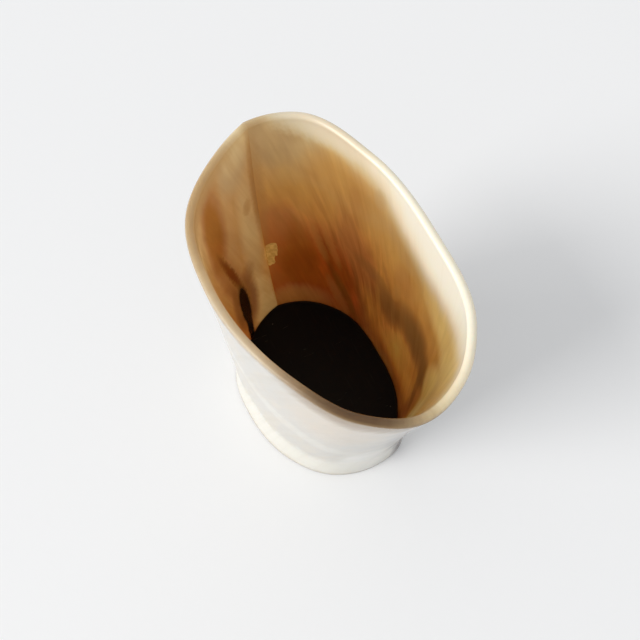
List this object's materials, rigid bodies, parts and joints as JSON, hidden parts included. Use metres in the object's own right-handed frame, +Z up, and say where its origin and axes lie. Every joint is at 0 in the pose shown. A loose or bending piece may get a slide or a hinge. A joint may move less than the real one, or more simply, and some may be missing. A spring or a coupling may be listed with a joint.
{
  "type": "horn cup",
  "caption": "Flat-bottomed beaker sawn from animal horn, oval and creased, wider at the rounded rim, with a dark plate sealed into its foot.",
  "frame": {"origin": "on the table under the middle of the rim's bounding box", "axes": "+Z up, +X along the oval's long axis away from the crease, +Y across the oval"},
  "size_m": [0.0947, 0.0587, 0.101],
  "materials": {
    "polished_horn": "polished horn, pale cream outside, amber and brown streaks inside",
    "black_plate": "satin black, lightly scuffed",
    "dark_sealant": "hard dark sealant"
  },
  "bodies": {
    "root": {"horn_wall": "polished_horn", "base_disc": "black_plate", "base_seal": "dark_sealant"}
  },
  "joints": []
}
